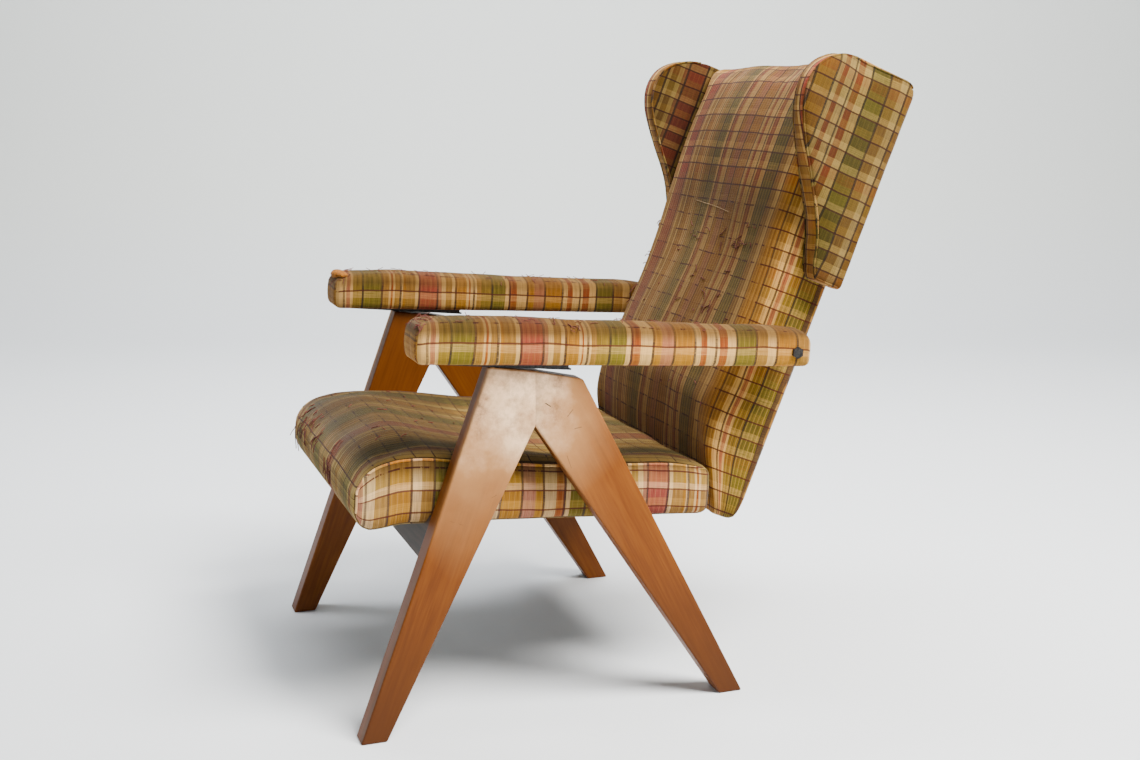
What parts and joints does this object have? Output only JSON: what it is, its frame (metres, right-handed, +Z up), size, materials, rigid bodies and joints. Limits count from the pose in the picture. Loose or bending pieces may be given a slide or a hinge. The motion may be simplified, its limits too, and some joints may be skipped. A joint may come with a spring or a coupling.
{
  "type": "reclining wing armchair",
  "caption": "Worn plaid wing-back lounge armchair on A-shaped wooden leg frames; the back reclines on hinges while the padded arms slide on the leg tops.",
  "frame": {"origin": "on the floor, under the middle of the chair's bounding box", "axes": "+Z up, the sitter faces -Y, the sitter's left is +X"},
  "size_m": [0.6646, 0.8738, 0.9686],
  "materials": {
    "stained_wood": "orange-brown stained and varnished beech, worn pale at the tops",
    "dark_wood": "nearly black stained softwood",
    "raw_wood": "bare frame timber",
    "plaid_cloth": "worn woven wool plaid in olive, mustard, cream and rust",
    "webbing": "jute webbing",
    "black_cloth": "thin black lining",
    "black_steel": "blackened steel, worn at edges"
  },
  "bodies": {
    "base": {"left_front_leg": "stained_wood", "left_rear_leg": "stained_wood", "right_front_leg": "stained_wood", "right_rear_leg": "stained_wood", "front_stretcher": "dark_wood", "rear_stretcher": "dark_wood", "seat_pad": "plaid_cloth", "seat_left_rail": "raw_wood", "seat_right_rail": "raw_wood", "seat_front_rail": "raw_wood", "seat_rear_rail": "raw_wood", "seat_webbing": "webbing", "seat_dust_cloth": "black_cloth", "left_hinge_seat_leaf": "black_steel", "left_hinge_pin": "black_steel", "right_hinge_seat_leaf": "black_steel", "right_hinge_pin": "black_steel"},
    "back": {"back_pad": "plaid_cloth", "back_left_post": "raw_wood", "back_right_post": "raw_wood", "back_bottom_rail": "raw_wood", "back_top_rail": "raw_wood", "back_webbing": "webbing", "back_panel_cloth": "plaid_cloth", "left_wing": "plaid_cloth", "right_wing": "plaid_cloth", "left_hinge_back_leaf": "black_steel", "left_pivot_bolt": "black_steel", "left_pivot_washer": "black_steel", "right_hinge_back_leaf": "black_steel", "right_pivot_bolt": "black_steel", "right_pivot_washer": "black_steel"},
    "left_arm": {"left_arm_pad": "plaid_cloth", "left_arm_core": "raw_wood", "left_arm_runner": "black_steel"},
    "right_arm": {"right_arm_pad": "plaid_cloth", "right_arm_core": "raw_wood", "right_arm_runner": "black_steel"}
  },
  "joints": [
    {"name": "back_recline", "type": "hinge", "parent": "base", "child": "back", "pos_m": [0, 0.13455, 0.27803], "axis": [-1, 0, 0], "range_deg": [0, 16]},
    {"name": "left_arm_pivot", "type": "hinge", "parent": "back", "child": "left_arm", "pos_m": [0.2895, 0.22462, 0.52778], "axis": [-1, 0, 0], "range_deg": [-13, 0.2]},
    {"name": "right_arm_pivot", "type": "hinge", "parent": "back", "child": "right_arm", "pos_m": [-0.2895, 0.22462, 0.52778], "axis": [-1, 0, 0], "range_deg": [-13, 0.2]}
  ],
  "couplings": [
    {"joint": "left_arm_pivot", "follows": "back_recline", "ratio": -0.8},
    {"joint": "right_arm_pivot", "follows": "back_recline", "ratio": -0.8}
  ]
}
